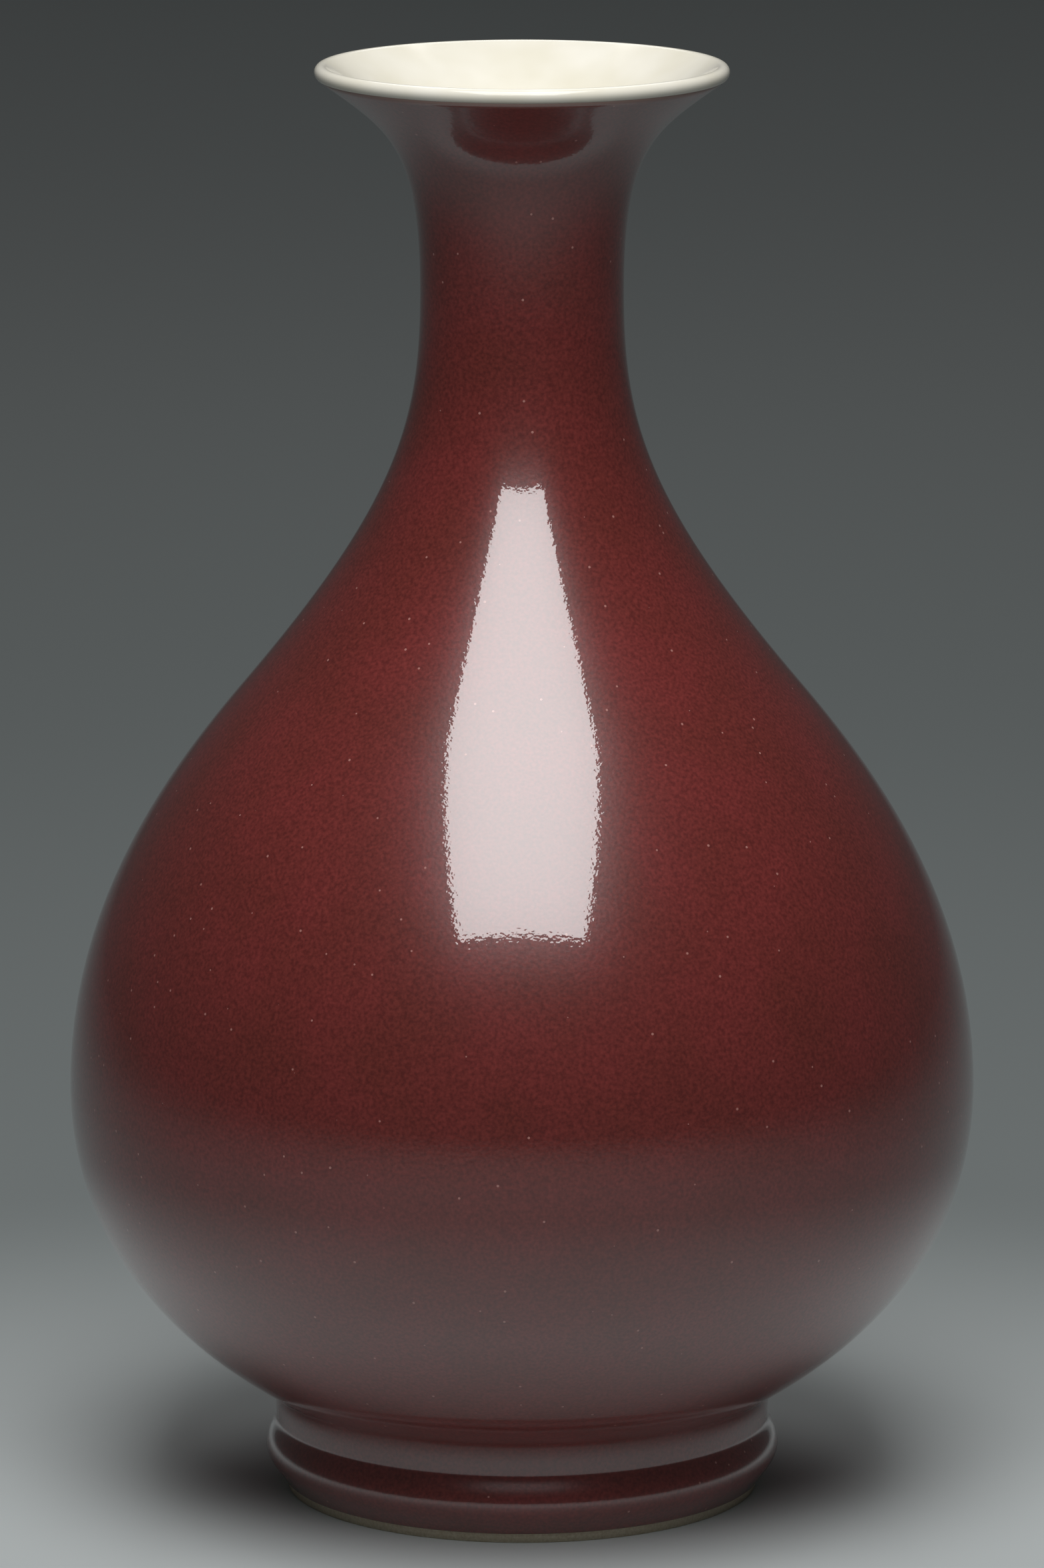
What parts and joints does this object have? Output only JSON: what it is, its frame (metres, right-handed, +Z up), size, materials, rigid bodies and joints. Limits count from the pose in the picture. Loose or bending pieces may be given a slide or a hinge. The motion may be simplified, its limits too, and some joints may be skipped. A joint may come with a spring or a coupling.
{
  "type": "bottle vase",
  "caption": "Pear-shaped porcelain bottle vase with a slender neck, flared white mouth, copper-red glaze and a turned foot ring.",
  "frame": {"origin": "centre of the foot on the ground, the bottom centre of the bounding box", "axes": "+Z up along the axis of revolution, which is the longest side; X and Y are free, as the vase is round"},
  "size_m": [0.1856, 0.1856, 0.295],
  "materials": {
    "porcelain": "bare fired, matt",
    "copper_red_glaze": "glossy",
    "white_glaze": "glossy"
  },
  "bodies": {
    "root": {"lower_body": "porcelain", "belly_slip_joint": "porcelain", "upper_body": "porcelain", "neck_slip_joint": "porcelain", "neck_and_mouth": "porcelain", "red_glaze_coat": "copper_red_glaze", "white_glaze_lining": "white_glaze", "recess_glaze": "white_glaze"}
  },
  "joints": []
}
